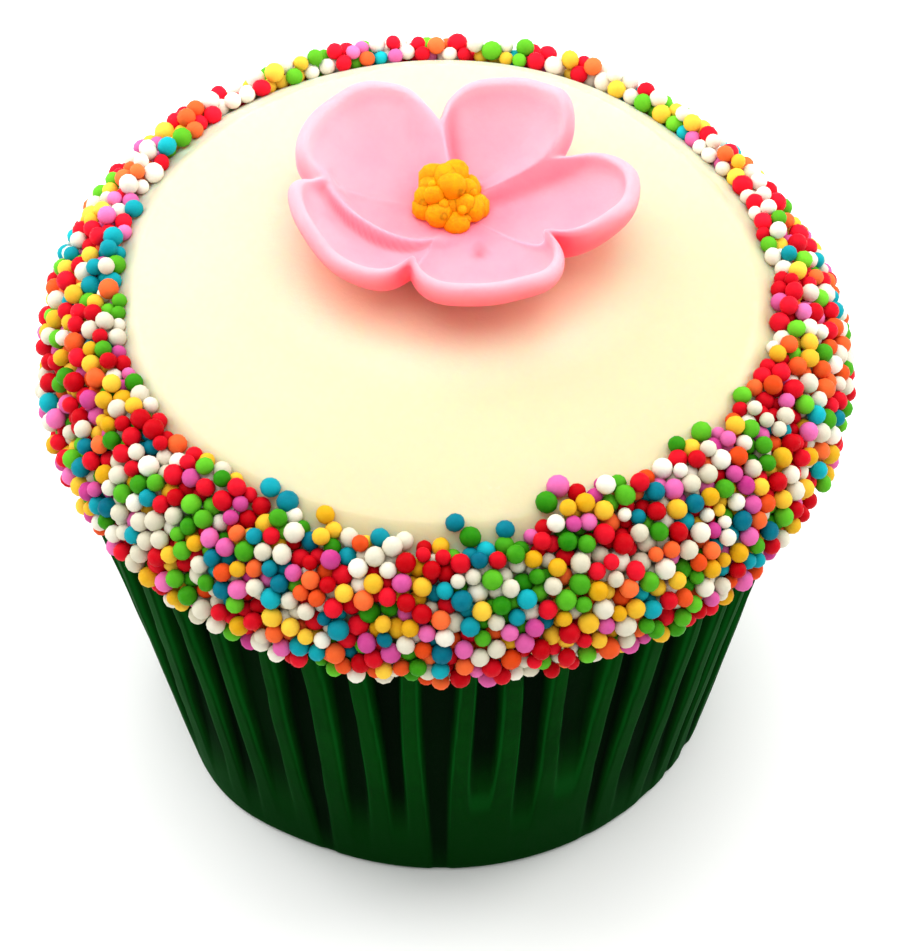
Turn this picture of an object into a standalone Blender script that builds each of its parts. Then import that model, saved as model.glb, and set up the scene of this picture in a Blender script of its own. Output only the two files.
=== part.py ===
"""Iced cupcake in a pleated paper case, with a beaded edge and a sugar-paste flower.

The origin is the middle of the case's base, on the surface it stands on; +Z is up and
the front is -Y. Lengths and heights below are in millimetres, angles in degrees, and
add_solid() turns them into metres.
"""

import bmesh
import bpy
import numpy as np

MM = 0.001
GAP = 0.3  # clearance between pieces that touch

# Paper case: a tapered cup whose wall is folded into pleats
CASE_HEIGHT = 39.2
CASE_BASE_RADIUS = 25.5  # over the crests of the pleats
CASE_RIM_RADIUS = 33.0
CASE_WALL = 0.45
HEEL_HEIGHT = 1.0  # the wall turns under at the base over a small slope
HEEL_INSET = 0.5
PLEATS = 46
PLEAT_DEPTH_BASE = 0.6
PLEAT_DEPTH_RIM = 2.0
PLEAT_CORNERS = ((0.00, 0.0), (0.34, 0.0), (0.48, 1.0), (0.86, 1.0))  # turn share, depth share
DENTS = (  # where the soft wall is pushed in or out; level 0 is the base and 1 the rim
    {"azimuth": 178, "spread": 8, "push": 1.1, "level": 0},
    {"azimuth": 194, "spread": 9, "push": -1.5, "level": 0},
    {"azimuth": 223, "spread": 14, "push": 0.8, "level": 0},
    {"azimuth": 206, "spread": 16, "push": 0.5, "level": 1},
    {"azimuth": 350, "spread": 25, "push": -0.5, "level": 1},
)

# Crown: a low dome that runs into an elliptical shoulder and tucks in over the case.
# It rose a little off the case's axis, flatter at the back right than at the back left.
CROWN_X = 0.5
CROWN_Y = -1.2
CROWN_BULGES = (
    {"azimuth": 37, "spread": 28, "push": -1.5},
    {"azimuth": 147, "spread": 30, "push": 0.3},
)
SHOULDER_RADIUS = 23.7  # axis of the shoulder's ellipse
SHOULDER_HEIGHT = 42.5
SHOULDER_REACH = 10.3
SHOULDER_RISE = 10.0
SHOULDER_TUCK = 2.4
JOIN_ANGLE = 15.7  # where dome and shoulder meet
DOME_RISE = 4.0
DOME_POWER = 2.2
ICING_THICKNESS = 2.0
ICING_END = 115.0
CROWN_UNDERSIDE = 39.8
CAKE_EASE = 1.4  # the sponge shrank this far from the paper while it baked

# Edge of sugar beads: a raised, lumpy ring over the shoulder
BEAD_HEIGHT = 1.6
BEAD_LUMP = 0.22
BAND_END = 130.0
BAND_INNER_END = 116.0
BAND_INNER_RADIUS = 27.2
BAND_WAVER = 0.45
TONGUE = {"azimuth": 293.5, "spread": 5.0, "length": 3.6}  # beads that strayed onto the dome

# Five-petalled flower, cut from one sheet and cupped
FLOWER_X = 1.1
FLOWER_Y = 2.6
PETAL_THICKNESS = 0.95
RIM_ROUND = 0.3
# curl is the angle that the sheet has bent up to at its edge; tilt lifts the edge before
# the petal's middle and lowers it after
PETALS = (
    {"heading": -7.0, "reach": 14.5, "height": 5.4, "fullness": 2.3, "curl": 93.0, "tilt": -0.8},
    {"heading": 46.0, "reach": 11.7, "height": 6.3, "fullness": 1.9, "curl": 66.0, "tilt": -0.5},
    {"heading": 141.0, "reach": 13.1, "height": 5.1, "fullness": 2.7, "curl": 70.0, "tilt": 0.2},
    {"heading": 209.0, "reach": 13.1, "height": 4.8, "fullness": 3.2, "curl": 89.0, "tilt": -0.6},
    {"heading": 296.5, "reach": 13.5, "height": 4.9, "fullness": 2.4, "curl": 89.0, "tilt": -0.1},
)
NOTCHES = (  # each one follows the petal of the same place in the list
    {"heading": 23.0, "reach": 8.2, "height": 3.1, "curl": 64.0},
    {"heading": 98.0, "reach": 7.7, "height": 2.6, "curl": 64.0},
    {"heading": 177.0, "reach": 10.8, "height": 3.7, "curl": 64.0},
    {"heading": 251.0, "reach": 9.4, "height": 3.9, "curl": 98.0},
    {"heading": 319.0, "reach": 8.9, "height": 3.8, "curl": 98.0},
)
PETAL_SIDES = 12
PETAL_RINGS = (0.22, 0.42, 0.6, 0.74, 0.86, 0.94, 1.0)

# Rough yellow-orange centre
CENTRE_RADIUS = 3.0
CENTRE_HEIGHT = 3.4
CENTRE_LUMP = 0.13

CROWN_SIDES = 56
BAND_SIDES = 84
CENTRE_SIDES = 20


def ring(azimuths, radius, height, axis=(0.0, 0.0)):
    """One closed ring of points about an upright axis."""
    theta = np.radians(azimuths)
    height = np.broadcast_to(height, theta.shape)
    x = axis[0] + radius * np.cos(theta)
    y = axis[1] + radius * np.sin(theta)
    return np.stack([x, y, height], axis=1)


def even_azimuths(count):
    return np.arange(count) * 360.0 / count


def material(name, colour, roughness):
    """A Principled material with one plain colour."""
    made = bpy.data.materials.new(name)
    made.use_nodes = True
    shader = made.node_tree.nodes["Principled BSDF"]
    shader.inputs["Base Color"].default_value = (*colour, 1.0)
    shader.inputs["Roughness"].default_value = roughness
    shader.inputs["Metallic"].default_value = 0.0
    made.diffuse_color = (*colour, 1.0)
    return made


def add_solid(name, rings, finish, joined=False, poles=(None, None), sharp=60.0):
    """Skin a stack of rings with equal counts into one closed body.

    joined closes the last ring onto the first, as on a torus. Otherwise each end is a
    flat face, or a fan to the point given for it in poles.
    """
    body = bmesh.new()
    loops = [[body.verts.new(point * MM) for point in points] for points in rings]
    pairs = list(zip(loops, loops[1:]))
    if joined:
        pairs.append((loops[-1], loops[0]))
    for lower, upper in pairs:
        for here in range(len(lower)):
            after = (here + 1) % len(lower)
            body.faces.new((lower[here], lower[after], upper[after], upper[here]))
    if not joined:
        for loop, pole in ((loops[0], poles[0]), (loops[-1], poles[1])):
            if pole is None:
                body.faces.new(loop)
                continue
            tip = body.verts.new(np.array(pole) * MM)
            for here in range(len(loop)):
                body.faces.new((loop[here], loop[(here + 1) % len(loop)], tip))
    bmesh.ops.recalc_face_normals(body, faces=body.faces)
    mesh = bpy.data.meshes.new(name)
    body.to_mesh(mesh)
    body.free()
    mesh.shade_smooth()
    mesh.set_sharp_from_angle(angle=np.radians(sharp))
    mesh.materials.append(finish)
    solid = bpy.data.objects.new(name, mesh)
    bpy.context.scene.collection.objects.link(solid)
    return solid


def bump(azimuths, centre, spread):
    """1 at the centre azimuth, falling off smoothly to each side."""
    away = (azimuths - centre + 180.0) % 360.0 - 180.0
    return np.exp(-((away / spread) ** 2))


def case_radius(azimuths, height):
    """Radius over the pleats' crests, with the dents of the soft wall."""
    level = height / CASE_HEIGHT
    radius = CASE_BASE_RADIUS + (CASE_RIM_RADIUS - CASE_BASE_RADIUS) * level
    for dent in DENTS:
        share = level if dent["level"] else 1.0 - level
        radius = radius + dent["push"] * share * bump(azimuths, dent["azimuth"], dent["spread"])
    return radius


def pleat_depth(height):
    """Depth of the folds, which open towards the rim."""
    return PLEAT_DEPTH_BASE + (PLEAT_DEPTH_RIM - PLEAT_DEPTH_BASE) * height / CASE_HEIGHT


def make_case(finish):
    turn = 360.0 / PLEATS
    azimuths = np.array([turn * (n + share) for n in range(PLEATS) for share, _ in PLEAT_CORNERS])
    folds = np.array([depth for _ in range(PLEATS) for _, depth in PLEAT_CORNERS])

    def wall(height, inset):
        radius = case_radius(azimuths, height) - folds * pleat_depth(height) - inset
        return ring(azimuths, radius, height)

    outside = [wall(0.0, HEEL_INSET), wall(HEEL_HEIGHT, 0.0), wall(CASE_HEIGHT, 0.0)]
    inside = [wall(CASE_HEIGHT, CASE_WALL), wall(CASE_WALL, CASE_WALL + HEEL_INSET)]
    add_solid("paper_case", outside + inside, finish, sharp=25.0)


def crown(phi, inset):
    """Radius and height on the crown at the angle phi, or on a surface set in by inset."""
    reach = SHOULDER_REACH - inset
    rise = np.where(phi < 90.0, SHOULDER_RISE, SHOULDER_TUCK) - inset
    radius = SHOULDER_RADIUS + reach * np.sin(np.radians(phi))
    height = SHOULDER_HEIGHT + rise * np.cos(np.radians(phi))
    join = np.radians(JOIN_ANGLE)
    join_radius = SHOULDER_RADIUS + reach * np.sin(join)
    join_height = SHOULDER_HEIGHT + (SHOULDER_RISE - inset) * np.cos(join)
    share = np.minimum(phi / JOIN_ANGLE, 1.0)
    on_dome = phi < JOIN_ANGLE
    dome_height = join_height + DOME_RISE * (1.0 - share**DOME_POWER)
    return np.where(on_dome, join_radius * share, radius), np.where(on_dome, dome_height, height)


def crown_angle(radius):
    """The angle phi of the crown's surface at this radius, above the widest line."""
    join_radius = SHOULDER_RADIUS + SHOULDER_REACH * np.sin(np.radians(JOIN_ANGLE))
    across = np.clip((radius - SHOULDER_RADIUS) / SHOULDER_REACH, 0.0, 1.0)
    on_shoulder = np.degrees(np.arcsin(across))
    return np.where(radius < join_radius, JOIN_ANGLE * radius / join_radius, on_shoulder)


def crown_stretch(azimuths):
    """Factor on the crown's radii, which makes its outline slightly uneven."""
    factor = 1.0
    for bulge in CROWN_BULGES:
        share = bulge["push"] / (SHOULDER_RADIUS + SHOULDER_REACH)
        factor = factor + share * bump(azimuths, bulge["azimuth"], bulge["spread"])
    return factor


def crown_ring(azimuths, radius, height):
    """One ring about the crown's own axis, with the crown's uneven outline."""
    return ring(azimuths, radius * crown_stretch(azimuths), height, (CROWN_X, CROWN_Y))


def crown_rings(angles, inset, azimuths):
    return [crown_ring(azimuths, *crown(np.full(azimuths.shape, angle), inset)) for angle in angles]


def make_cake(finish):
    azimuths = even_azimuths(CROWN_SIDES)
    rings = []
    for height in (CASE_WALL + GAP, CROWN_UNDERSIDE):
        reach = case_radius(azimuths, height) - pleat_depth(height) - CASE_WALL - CAKE_EASE
        rings.append(ring(azimuths, reach, height))
    inset = ICING_THICKNESS + GAP
    widest, _ = crown(90.0, inset)
    rings.append(crown_ring(azimuths, widest, CROWN_UNDERSIDE))
    rings += crown_rings((90, 68, 45, 28, JOIN_ANGLE, 8), inset, azimuths)
    _, top = crown(0.0, inset)
    add_solid("cake", rings, finish, poles=(None, (CROWN_X, CROWN_Y, float(top))))


def make_icing(finish):
    azimuths = even_azimuths(CROWN_SIDES)
    outside = crown_rings((3, 7, 11.5, JOIN_ANGLE, 26, 40, 56, 73, 90, 103, ICING_END), 0.0, azimuths)
    _, lower_edge = crown(ICING_END, 0.0)
    widest, _ = crown(90.0, ICING_THICKNESS)
    inside = [crown_ring(azimuths, widest, lower_edge)]
    inside += crown_rings((90, 68, 45, 28, JOIN_ANGLE, 8), ICING_THICKNESS, azimuths)
    tips = [(CROWN_X, CROWN_Y, float(crown(0.0, inset)[1])) for inset in (0.0, ICING_THICKNESS)]
    add_solid("icing", outside + inside, finish, poles=tips)


def band_start(azimuths):
    """Radius where the beads begin: it wavers, with one tongue onto the dome."""
    theta = np.radians(azimuths)
    waver = np.sin(5 * theta + 0.7) + 0.6 * np.sin(11 * theta + 2.1) + 0.5 * np.sin(17 * theta)
    tongue = TONGUE["length"] * bump(azimuths, TONGUE["azimuth"], TONGUE["spread"])
    return BAND_INNER_RADIUS + BAND_WAVER * waver - tongue


def make_band(finish):
    azimuths = even_azimuths(BAND_SIDES)
    theta = np.radians(azimuths)
    start = crown_angle(band_start(azimuths))

    def along(share, end):
        return start + (end - start) * share

    outside = []
    for row, share in enumerate((0.0, 0.03, 0.17, 0.34, 0.5, 0.66, 0.82, 0.93, 1.0)):
        lumps = np.sin(23 * theta + 2.4 * row) * np.sin(9 * theta + 1.3 * row)
        lift = BEAD_HEIGHT + BEAD_LUMP * (lumps - 1.0) * (share < 1.0)
        if row == 0:
            lift = np.full(azimuths.shape, BEAD_HEIGHT * 0.55)
        outside.append(crown_ring(azimuths, *crown(along(share, BAND_END), -lift)))
    inside = [
        crown_ring(azimuths, *crown(along(share, BAND_INNER_END), -GAP))
        for share in (1.0, 0.84, 0.68, 0.48, 0.28, 0.12, 0.0)
    ]
    add_solid("sprinkle_band", outside + inside, finish, joined=True)


def petal_edge(petal, before, after):
    """Headings round one petal, with its edge's distance from the centre, height and curl.

    The edge swings out from the notch before the petal to its tip and back to the notch
    after it, as a superellipse whose power is the petal's fullness.
    """
    first = before["heading"] - (360.0 if before["heading"] > petal["heading"] else 0.0)
    last = after["heading"] + (360.0 if after["heading"] < petal["heading"] else 0.0)
    turn = np.sin(np.radians(np.linspace(-90.0, 90.0, PETAL_SIDES + 1)))[:-1]
    opening = turn < 0.0
    swing = np.where(opening, petal["heading"] - first, last - petal["heading"])
    notch_reach = np.where(opening, before["reach"], after["reach"])
    notch_height = np.where(opening, before["height"], after["height"])
    bulge = np.sqrt(1.0 - np.abs(turn) ** petal["fullness"])
    reach = notch_reach + (petal["reach"] - notch_reach) * bulge
    height = notch_height + (petal["height"] - notch_height) * (1.0 - np.abs(turn) ** 3)
    height = height + petal["tilt"] * 2.6 * turn * (1.0 - turn**2)
    curl = np.where(opening, before["curl"], after["curl"])
    curl = curl + (petal["curl"] - curl) * (1.0 - np.abs(turn) ** 4)
    return petal["heading"] + swing * turn, reach, height, np.radians(curl)


def crown_height(x, y):
    """Height of the icing at a point of its dome."""
    azimuths = np.degrees(np.arctan2(y - CROWN_Y, x - CROWN_X))
    radius = np.hypot(x - CROWN_X, y - CROWN_Y) / crown_stretch(azimuths)
    return crown(crown_angle(radius), 0.0)[1]


def make_flower(finish):
    """One sheet whose section at each heading is an arc, flat at the centre."""
    edges = [petal_edge(petal, NOTCHES[n - 1], NOTCHES[n]) for n, petal in enumerate(PETALS)]
    heading, reach, height, curl = (np.concatenate(part) for part in zip(*edges))
    theta = np.radians(heading)

    def point(out, rise):
        x = FLOWER_X + out * np.cos(theta)
        y = FLOWER_Y + out * np.sin(theta)
        floor = crown_height(x, y) + GAP
        return np.stack([x, y, np.maximum(floor + PETAL_THICKNESS + rise, floor)], axis=1)

    def top(share, depth=0.0):
        """The upper side at a share of the way out, or a surface that deep under it."""
        bend = share * curl
        out = reach * np.sin(bend) / np.sin(curl)
        rise = height * (1.0 - np.cos(bend)) / (1.0 - np.cos(curl))
        run = reach * np.cos(bend) / np.sin(curl)
        climb = height * np.sin(bend) / (1.0 - np.cos(curl))
        length = np.hypot(run, climb)
        return out + depth * climb / length, rise - depth * run / length, run / length, climb / length

    def rim():
        out, rise, run, climb = top(1.0, 0.5 * PETAL_THICKNESS)
        return point(out + RIM_ROUND * run, rise + RIM_ROUND * climb)

    rings = [point(*top(share)[:2]) for share in PETAL_RINGS] + [rim()]
    rings += [point(*top(share, PETAL_THICKNESS)[:2]) for share in PETAL_RINGS[::-1]]
    floor = float(crown_height(FLOWER_X, FLOWER_Y)) + GAP
    tips = [(FLOWER_X, FLOWER_Y, floor + rise) for rise in (PETAL_THICKNESS, 0.0)]
    add_solid("flower", rings, finish, poles=tips)


def make_centre(finish):
    azimuths = even_azimuths(CENTRE_SIDES)
    theta = np.radians(azimuths)
    seat = float(crown_height(FLOWER_X, FLOWER_Y)) + 2 * GAP + PETAL_THICKNESS + 0.15
    rings = []
    for row, climb in enumerate((0.0, 12.0, 30.0, 48.0, 66.0, 80.0)):
        lumps = 1.0 + CENTRE_LUMP * np.sin(7 * theta + 1.9 * row) * (row > 0)
        reach = CENTRE_RADIUS * np.cos(np.radians(climb)) ** 0.8 * lumps
        points = ring(azimuths, reach, seat + CENTRE_HEIGHT * np.sin(np.radians(climb)))
        rings.append(points + np.array([FLOWER_X, FLOWER_Y, 0.0]))
    add_solid("flower_centre", rings, finish, poles=(None, (FLOWER_X, FLOWER_Y, seat + CENTRE_HEIGHT)))


def main():
    for thing in list(bpy.data.objects):
        bpy.data.objects.remove(thing)
    make_case(material("green_paper", (0.01, 0.07, 0.015), 0.55))
    make_cake(material("sponge", (0.72, 0.47, 0.19), 0.9))
    make_icing(material("cream_icing", (0.96, 0.93, 0.74), 0.6))
    make_band(material("sugar_beads", (0.75, 0.35, 0.3), 0.5))
    make_flower(material("pink_sugar_paste", (0.96, 0.55, 0.62), 0.6))
    make_centre(material("orange_sugar", (0.95, 0.4, 0.01), 0.8))


main()
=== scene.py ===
import math

import bmesh
import bpy
import numpy as np
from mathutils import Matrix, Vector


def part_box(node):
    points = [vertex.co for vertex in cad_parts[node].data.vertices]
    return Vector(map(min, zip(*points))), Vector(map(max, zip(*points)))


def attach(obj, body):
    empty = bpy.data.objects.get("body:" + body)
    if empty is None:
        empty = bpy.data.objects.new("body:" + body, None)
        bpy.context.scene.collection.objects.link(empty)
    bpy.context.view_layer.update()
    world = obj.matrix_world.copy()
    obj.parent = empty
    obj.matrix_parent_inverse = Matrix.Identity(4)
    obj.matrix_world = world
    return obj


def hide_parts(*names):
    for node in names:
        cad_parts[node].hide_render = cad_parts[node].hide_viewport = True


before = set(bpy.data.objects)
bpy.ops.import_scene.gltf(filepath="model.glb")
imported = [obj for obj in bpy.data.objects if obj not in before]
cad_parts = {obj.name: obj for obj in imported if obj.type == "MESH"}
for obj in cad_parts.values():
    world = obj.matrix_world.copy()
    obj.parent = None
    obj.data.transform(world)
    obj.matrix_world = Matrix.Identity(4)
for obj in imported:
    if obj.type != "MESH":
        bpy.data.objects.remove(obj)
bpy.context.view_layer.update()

mm = 0.001  # lengths below are in millimetres, and addPiece() turns them into metres
turn = 2 * math.pi
print("frame loaded")

view = {
    "aim": (0.8, 0.0, 25.4),
    "distance": 403.0,
    "elevation": 49.6,
    "lens": 170.0,
    "sensor": 36.0,
    "clipStart": 10.0,
}
world = {"strength": 0.78, "colour": (0.97, 1.0, 0.98)}
lamps = {
    "overhead": {"power": 8.6, "place": (-50, 130, 800), "size": 1200, "colour": (1.0, 0.995, 0.985)},
    "left": {"power": 1.1, "place": (-420, 190, 250), "size": 300, "colour": (1.0, 1.0, 1.0)},
    "right": {"power": 1.2, "place": (420, 170, 250), "size": 300, "colour": (1.0, 0.99, 0.97)},
}


def addCamera():
    camera = bpy.data.objects.new("camera", bpy.data.cameras.new("camera"))
    bpy.context.scene.collection.objects.link(camera)
    camera.data.lens = view["lens"]
    camera.data.sensor_width = view["sensor"]
    camera.data.clip_start = view["clipStart"] * mm
    lean = math.radians(view["elevation"])
    aim = np.array(view["aim"])
    place = aim + view["distance"] * np.array([0.0, -math.cos(lean), math.sin(lean)])
    camera.location = place * mm
    camera.rotation_euler = (math.pi / 2 - lean, 0.0, 0.0)
    bpy.context.scene.camera = camera


def addLamp(name):
    # a round area light turned towards the point that the camera aims at
    lamp = bpy.data.lights.new(name, "AREA")
    lamp.shape = "DISK"
    lamp.size = lamps[name]["size"] * mm
    lamp.energy = lamps[name]["power"]
    lamp.color = lamps[name]["colour"]
    place = np.array(lamps[name]["place"])
    toward = np.array(view["aim"]) - place
    flat = math.hypot(toward[0], toward[1])
    heading = math.atan2(toward[1], toward[0])
    holder = bpy.data.objects.new(name, lamp)
    bpy.context.scene.collection.objects.link(holder)
    holder.location = place * mm
    holder.rotation_euler = (math.atan2(flat, -toward[2]), 0.0, heading - math.pi / 2)


def addWorld():
    studio = bpy.data.worlds.new("studio")
    bpy.context.scene.world = studio
    studio.use_nodes = True
    background = studio.node_tree.nodes["Background"].inputs
    background["Color"].default_value = (*world["colour"], 1.0)
    background["Strength"].default_value = world["strength"]


addCamera()
for lampName in lamps:
    addLamp(lampName)
addWorld()
bpy.context.scene.view_settings.view_transform = "Standard"
print("camera and lights placed")


class Wire:
    # one shader value; arithmetic on it adds Math nodes to its finish
    def __init__(self, finish, socket):
        self.finish = finish
        self.socket = socket

    def combine(self, operation, first, second):
        settings = {"operation": operation}
        return self.finish.node("ShaderNodeMath", settings, {0: first, 1: second})

    def __add__(self, other):
        return self.combine("ADD", self, other)

    def __radd__(self, other):
        return self.combine("ADD", other, self)

    def __sub__(self, other):
        return self.combine("SUBTRACT", self, other)

    def __rsub__(self, other):
        return self.combine("SUBTRACT", other, self)

    def __mul__(self, other):
        return self.combine("MULTIPLY", self, other)

    def __rmul__(self, other):
        return self.combine("MULTIPLY", other, self)

    def __pow__(self, other):
        return self.combine("POWER", self, other)

    def step(self, low, high):
        # 0 below low, 1 above high, smooth between
        settings = {"interpolation_type": "SMOOTHSTEP"}
        values = {"Value": self, "From Min": low, "From Max": high}
        return self.finish.node("ShaderNodeMapRange", settings, values, "Result")


class Finish:
    # one procedural material built round a Principled shader
    def __init__(self, name, **constants):
        self.material = bpy.data.materials.new(name)
        self.material.use_nodes = True
        self.tree = self.material.node_tree
        self.shader = self.tree.nodes["Principled BSDF"]
        for key, value in constants.items():
            self.shader.inputs[key.replace("_", " ")].default_value = value

    def plug(self, socket, value):
        if isinstance(value, Wire):
            self.tree.links.new(value.socket, socket)
        elif isinstance(value, tuple) and len(value) == 3 and socket.type == "RGBA":
            socket.default_value = (*value, 1.0)
        else:
            socket.default_value = value

    def node(self, kind, settings=None, values=None, out=0):
        made = self.tree.nodes.new(kind)
        for key, value in (settings or {}).items():
            setattr(made, key, value)
        for key, value in (values or {}).items():
            self.plug(made.inputs[key], value)
        return Wire(self, made.outputs[out])

    def place(self, scale=(1.0, 1.0, 1.0)):
        # object coordinates in millimetres
        raw = self.node("ShaderNodeTexCoord", out="Object")
        size = tuple(share / mm for share in scale)
        return self.node("ShaderNodeMapping", None, {"Vector": raw, "Scale": size})

    def attribute(self, name):
        return self.node("ShaderNodeAttribute", {"attribute_name": name}, out="Fac")

    def noise(self, scale, detail=3.0, roughness=0.5, stretch=(1.0, 1.0, 1.0)):
        values = {"Vector": self.place(stretch), "Scale": scale}
        values.update({"Detail": detail, "Roughness": roughness})
        return self.node("ShaderNodeTexNoise", None, values, "Fac")

    def mix(self, share, first, second):
        # sockets 0, 6 and 7 are the factor and the two colours, and output 2 is the colour
        return self.node("ShaderNodeMix", {"data_type": "RGBA"}, {0: share, 6: first, 7: second}, 2)

    def axis(self, name):
        return self.node("ShaderNodeSeparateXYZ", None, {0: self.place()}, name)

    def bump(self, height, distance, strength):
        # a bump of so many millimetres
        values = {"Height": height, "Distance": distance * mm, "Strength": strength}
        self.wear("Normal", self.node("ShaderNodeBump", None, values, "Normal"))

    def wear(self, socket, value):
        self.plug(self.shader.inputs[socket], value)


floor = {"reach": 1500, "tones": ((0.93, 0.94, 0.93), (0.95, 0.95, 0.945))}


def addFloor():
    reach = floor["reach"] * mm
    mesh = bpy.data.meshes.new("floor")
    corners = [(-reach, -reach, 0), (reach, -reach, 0), (reach, reach, 0), (-reach, reach, 0)]
    mesh.from_pydata(corners, [], [(0, 1, 2, 3)])
    board = bpy.data.objects.new("floor", mesh)
    bpy.context.scene.collection.objects.link(board)
    finish = Finish("paleBoard", Roughness=0.6)
    finish.wear("Base Color", finish.mix(finish.noise(0.02), *floor["tones"]))
    mesh.materials.append(finish.material)


addFloor()
print("floor laid")


def skin(name, grid, finish, first, last, tones=None):
    # grid[row, column] holds points: columns run round and close, rows run along, and
    # first and last are the pole points that close the two ends
    rows, columns, _ = grid.shape
    here = np.arange(rows * columns).reshape(rows, columns)
    after = np.roll(here, -1, axis=1)
    quads = np.stack([here[:-1], after[:-1], after[1:], here[1:]], axis=-1).reshape(-1, 4)
    faces = quads.tolist()
    for tip, row in ((rows * columns, 0), (rows * columns + 1, -1)):
        faces += np.stack([here[row], after[row], np.full(columns, tip)], axis=-1).tolist()
    points = np.vstack([grid.reshape(-1, 3), [first], [last]])
    return addPiece(name, points, faces, finish, tones)


def addPiece(name, points, faces, finish, tones=None):
    # tones are values at the points by name; the poles take the last point's
    mesh = bpy.data.meshes.new(name)
    mesh.from_pydata((points * mm).tolist(), [], faces)
    for key, values in (tones or {}).items():
        layer = mesh.attributes.new(key, "FLOAT", "POINT")
        values = np.append(values, np.full(len(points) - len(values), values[-1]))
        layer.data.foreach_set("value", values.astype(np.float32))
    piece = bpy.data.objects.new(name, mesh)
    bpy.context.scene.collection.objects.link(piece)
    tidyNormals(piece)
    mesh.shade_smooth()
    mesh.materials.append(finish.material)
    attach(piece, "root")
    return piece


def tidyNormals(piece):
    # turns every face outwards
    body = bmesh.new()
    body.from_mesh(piece.data)
    bmesh.ops.recalc_face_normals(body, faces=body.faces)
    body.to_mesh(piece.data)
    body.free()


def bumpAt(azimuth, centre, spread):
    # exp(-(angle away from the centre / spread) squared), angles in degrees
    away = (azimuth - centre + 180) % 360 - 180
    return np.exp(-((away / spread) ** 2))


def smooth(value, low, high):
    # 3t^2 - 2t^3 of the value's share t between low and high
    share = np.clip((value - low) / (high - low), 0, 1)
    return share * share * (3 - 2 * share)


def ripple(seed, *axes):
    # a few sine waves with seeded directions and phases, added up to about -1 to 1
    random = np.random.default_rng(seed)
    total = 0
    for level in range(1, 5):
        pull = random.uniform(-1, 1, len(axes)) * level
        along = sum(p * a for p, a in zip(pull, axes))
        total = total + np.sin(along + random.uniform(0, turn)) / level
    return total / 2


crown = {
    "x": 0.5,  # the crown rose a little off the case's axis
    "y": -1.2,
    "shoulderRadius": 23.7,
    "shoulderHeight": 42.5,
    "shoulderReach": 10.3,
    "shoulderRise": 10.0,
    "shoulderTuck": 2.4,
    "join": 15.7,  # degrees down the shoulder where the dome begins
    "domeRise": 4.0,
    "domePower": 2.2,
    "end": 115.0,
    "pressedIn": 0.95,  # the beads sit this deep in the shoulder
    "pressed": (12, 30),  # from the first angle on, and fully at the second
    "bulges": (
        {"azimuth": 37, "spread": 28, "push": -1.5},
        {"azimuth": 147, "spread": 30, "push": 0.3},
    ),
}


def crownAt(phi, inset=0.0):
    # radius and height at the angle phi, in degrees: up to the join angle a dome,
    # height = join height + rise * (1 - share^power); past it an ellipse,
    # radius = middle + reach * sin(phi), height = middle + rise * cos(phi)
    reach = crown["shoulderReach"] - inset
    rise = np.where(phi < 90, crown["shoulderRise"], crown["shoulderTuck"]) - inset
    join = math.radians(crown["join"])
    joinRadius = crown["shoulderRadius"] + reach * math.sin(join)
    joinHeight = crown["shoulderHeight"] + (crown["shoulderRise"] - inset) * math.cos(join)
    share = np.minimum(phi / crown["join"], 1)
    onDome = phi < crown["join"]
    radius = crown["shoulderRadius"] + reach * np.sin(np.radians(phi))
    height = crown["shoulderHeight"] + rise * np.cos(np.radians(phi))
    domeHeight = joinHeight + crown["domeRise"] * (1 - share ** crown["domePower"])
    return np.where(onDome, joinRadius * share, radius), np.where(onDome, domeHeight, height)


def crownAngle(radius):
    # the angle phi whose surface lies at this radius, above the widest line: on the dome
    # join * radius / join radius, on the shoulder arcsin((radius - middle) / reach)
    join = math.sin(math.radians(crown["join"]))
    joinRadius = crown["shoulderRadius"] + crown["shoulderReach"] * join
    across = np.clip((radius - crown["shoulderRadius"]) / crown["shoulderReach"], 0, 1)
    onShoulder = np.degrees(np.arcsin(across))
    return np.where(radius < joinRadius, crown["join"] * radius / joinRadius, onShoulder)


def crownHeight(x, y):
    # height of the crown's top over a place: the outline's height at the radius that the
    # place has once the uneven outline is evened out
    x, y = x - crown["x"], y - crown["y"]
    return crownAt(crownAngle(np.hypot(x, y) / crownStretch(np.arctan2(y, x))))[1]


def crownStretch(theta):
    # factor on the crown's radii: 1 + push / radius * bump for each bulge of its outline
    factor = 1
    for bulge in crown["bulges"]:
        share = bulge["push"] / (crown["shoulderRadius"] + crown["shoulderReach"])
        factor = factor + share * bumpAt(np.degrees(theta), bulge["azimuth"], bulge["spread"])
    return factor


def pressed(phi):
    # how deep the icing lies under the crown's outline: it eases down towards the beads,
    # depth = pressed in * smooth share of phi
    return crown["pressedIn"] * smooth(phi, *crown["pressed"])


def onCrown(points):
    # points worked out about the crown's axis, with its uneven outline, where it stands
    points = np.array(points, dtype=float)
    stretch = crownStretch(np.arctan2(points[..., 1], points[..., 0]))
    points[..., :2] *= np.asarray(stretch)[..., None]
    return points + np.array([crown["x"], crown["y"], 0])


icing = {
    "columns": 240,
    "domeRows": 54,
    "shoulderRows": 70,
    "thickness": 2.0,
    "innerAngles": (90.0, 60.0, 35.0, crown["join"], 8.0),
    # the dome is smoothed by hand, so it waves by about a tenth of a millimetre
    "waves": (
        {"seed": 3, "height": 0.13, "length": 5.5},
        {"seed": 8, "height": 0.05, "length": 1.9},
    ),
    # the cream, and a darker, yellower cream that paints the shade towards the front right
    "creamAndShade": ((0.66, 0.585, 0.43), (0.63, 0.53, 0.315)),
    # painted light: a paler cream that lifts the shade in a ring before the flower
    "pale": (0.84, 0.71, 0.53),
    # painted light: pink light bounced from the petals into the shade at the flower's foot
    "paintedPinkBounce": (1.0, 0.50, 0.36),
    "flecks": (0.68, 0.62, 0.48),
}


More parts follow.
